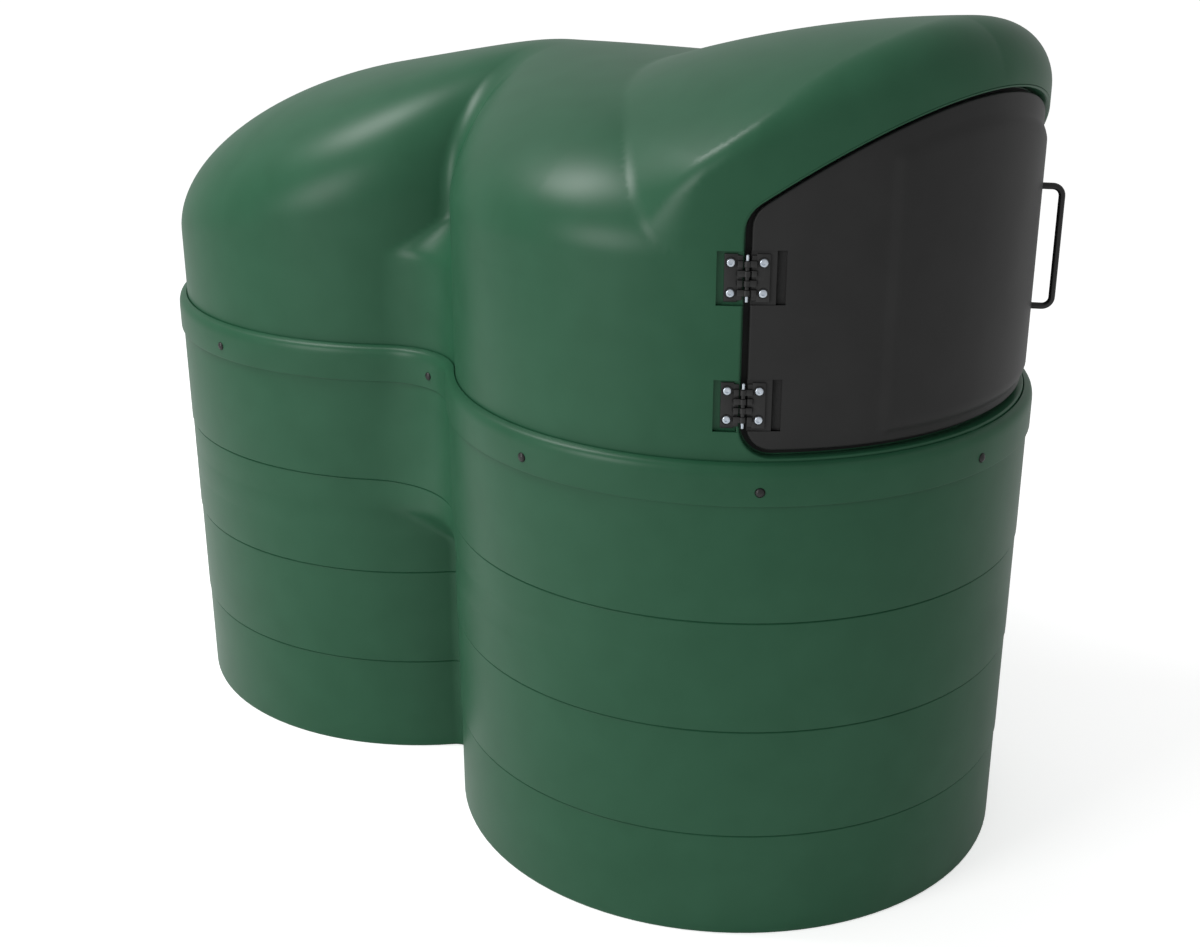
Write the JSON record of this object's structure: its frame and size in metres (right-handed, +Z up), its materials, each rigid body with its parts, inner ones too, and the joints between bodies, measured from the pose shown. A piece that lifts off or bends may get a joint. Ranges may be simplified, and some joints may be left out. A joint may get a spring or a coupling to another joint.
{
  "type": "bunded fuel tank",
  "caption": "Double-walled moulded plastic fuel tank of two round lobes, with a sculpted hood and a hinged cabinet door.",
  "frame": {"origin": "middle of the footprint on the floor", "axes": "+X towards the cabinet door, +Z up, +Y to the left seen from the rear"},
  "size_m": [2.3896, 1.3, 1.8588],
  "materials": {
    "green_polyethylene": "rotationally moulded, matt",
    "black_polyethylene": "rotationally moulded, matt",
    "black_rubber": "extruded seal, matt",
    "black_nylon": "injection moulded, fine grain",
    "black_coated_steel": "powder coated, satin",
    "steel": "zinc plated"
  },
  "bodies": {
    "tank": {"bund_tank": "green_polyethylene", "hood": "green_polyethylene", "inner_tank": "green_polyethylene", "inner_tank_top": "green_polyethylene", "door_seal": "black_rubber", "inspection_ring": "black_polyethylene", "inspection_lid": "black_polyethylene", "fill_pipe": "black_polyethylene", "fill_cap": "black_nylon", "vent_pipe": "black_polyethylene", "vent_cap": "black_nylon", "gauge_socket": "black_nylon", "gauge_cap": "black_nylon", "outlet_socket": "black_nylon", "outlet_plug": "black_nylon", "lower_hinge_hood_leaf": "black_nylon", "lower_hinge_pin": "steel", "upper_hinge_hood_leaf": "black_nylon", "upper_hinge_pin": "steel"},
    "door": {"door_panel": "black_polyethylene", "door_handle": "black_coated_steel", "lower_hinge_door_leaf": "black_nylon", "upper_hinge_door_leaf": "black_nylon"}
  },
  "joints": [
    {"name": "door_hinge", "type": "hinge", "parent": "tank", "child": "door", "pos_m": [0.95987, -0.46477, 0], "axis": [0, 0, -1], "range_deg": [0, 110]}
  ]
}
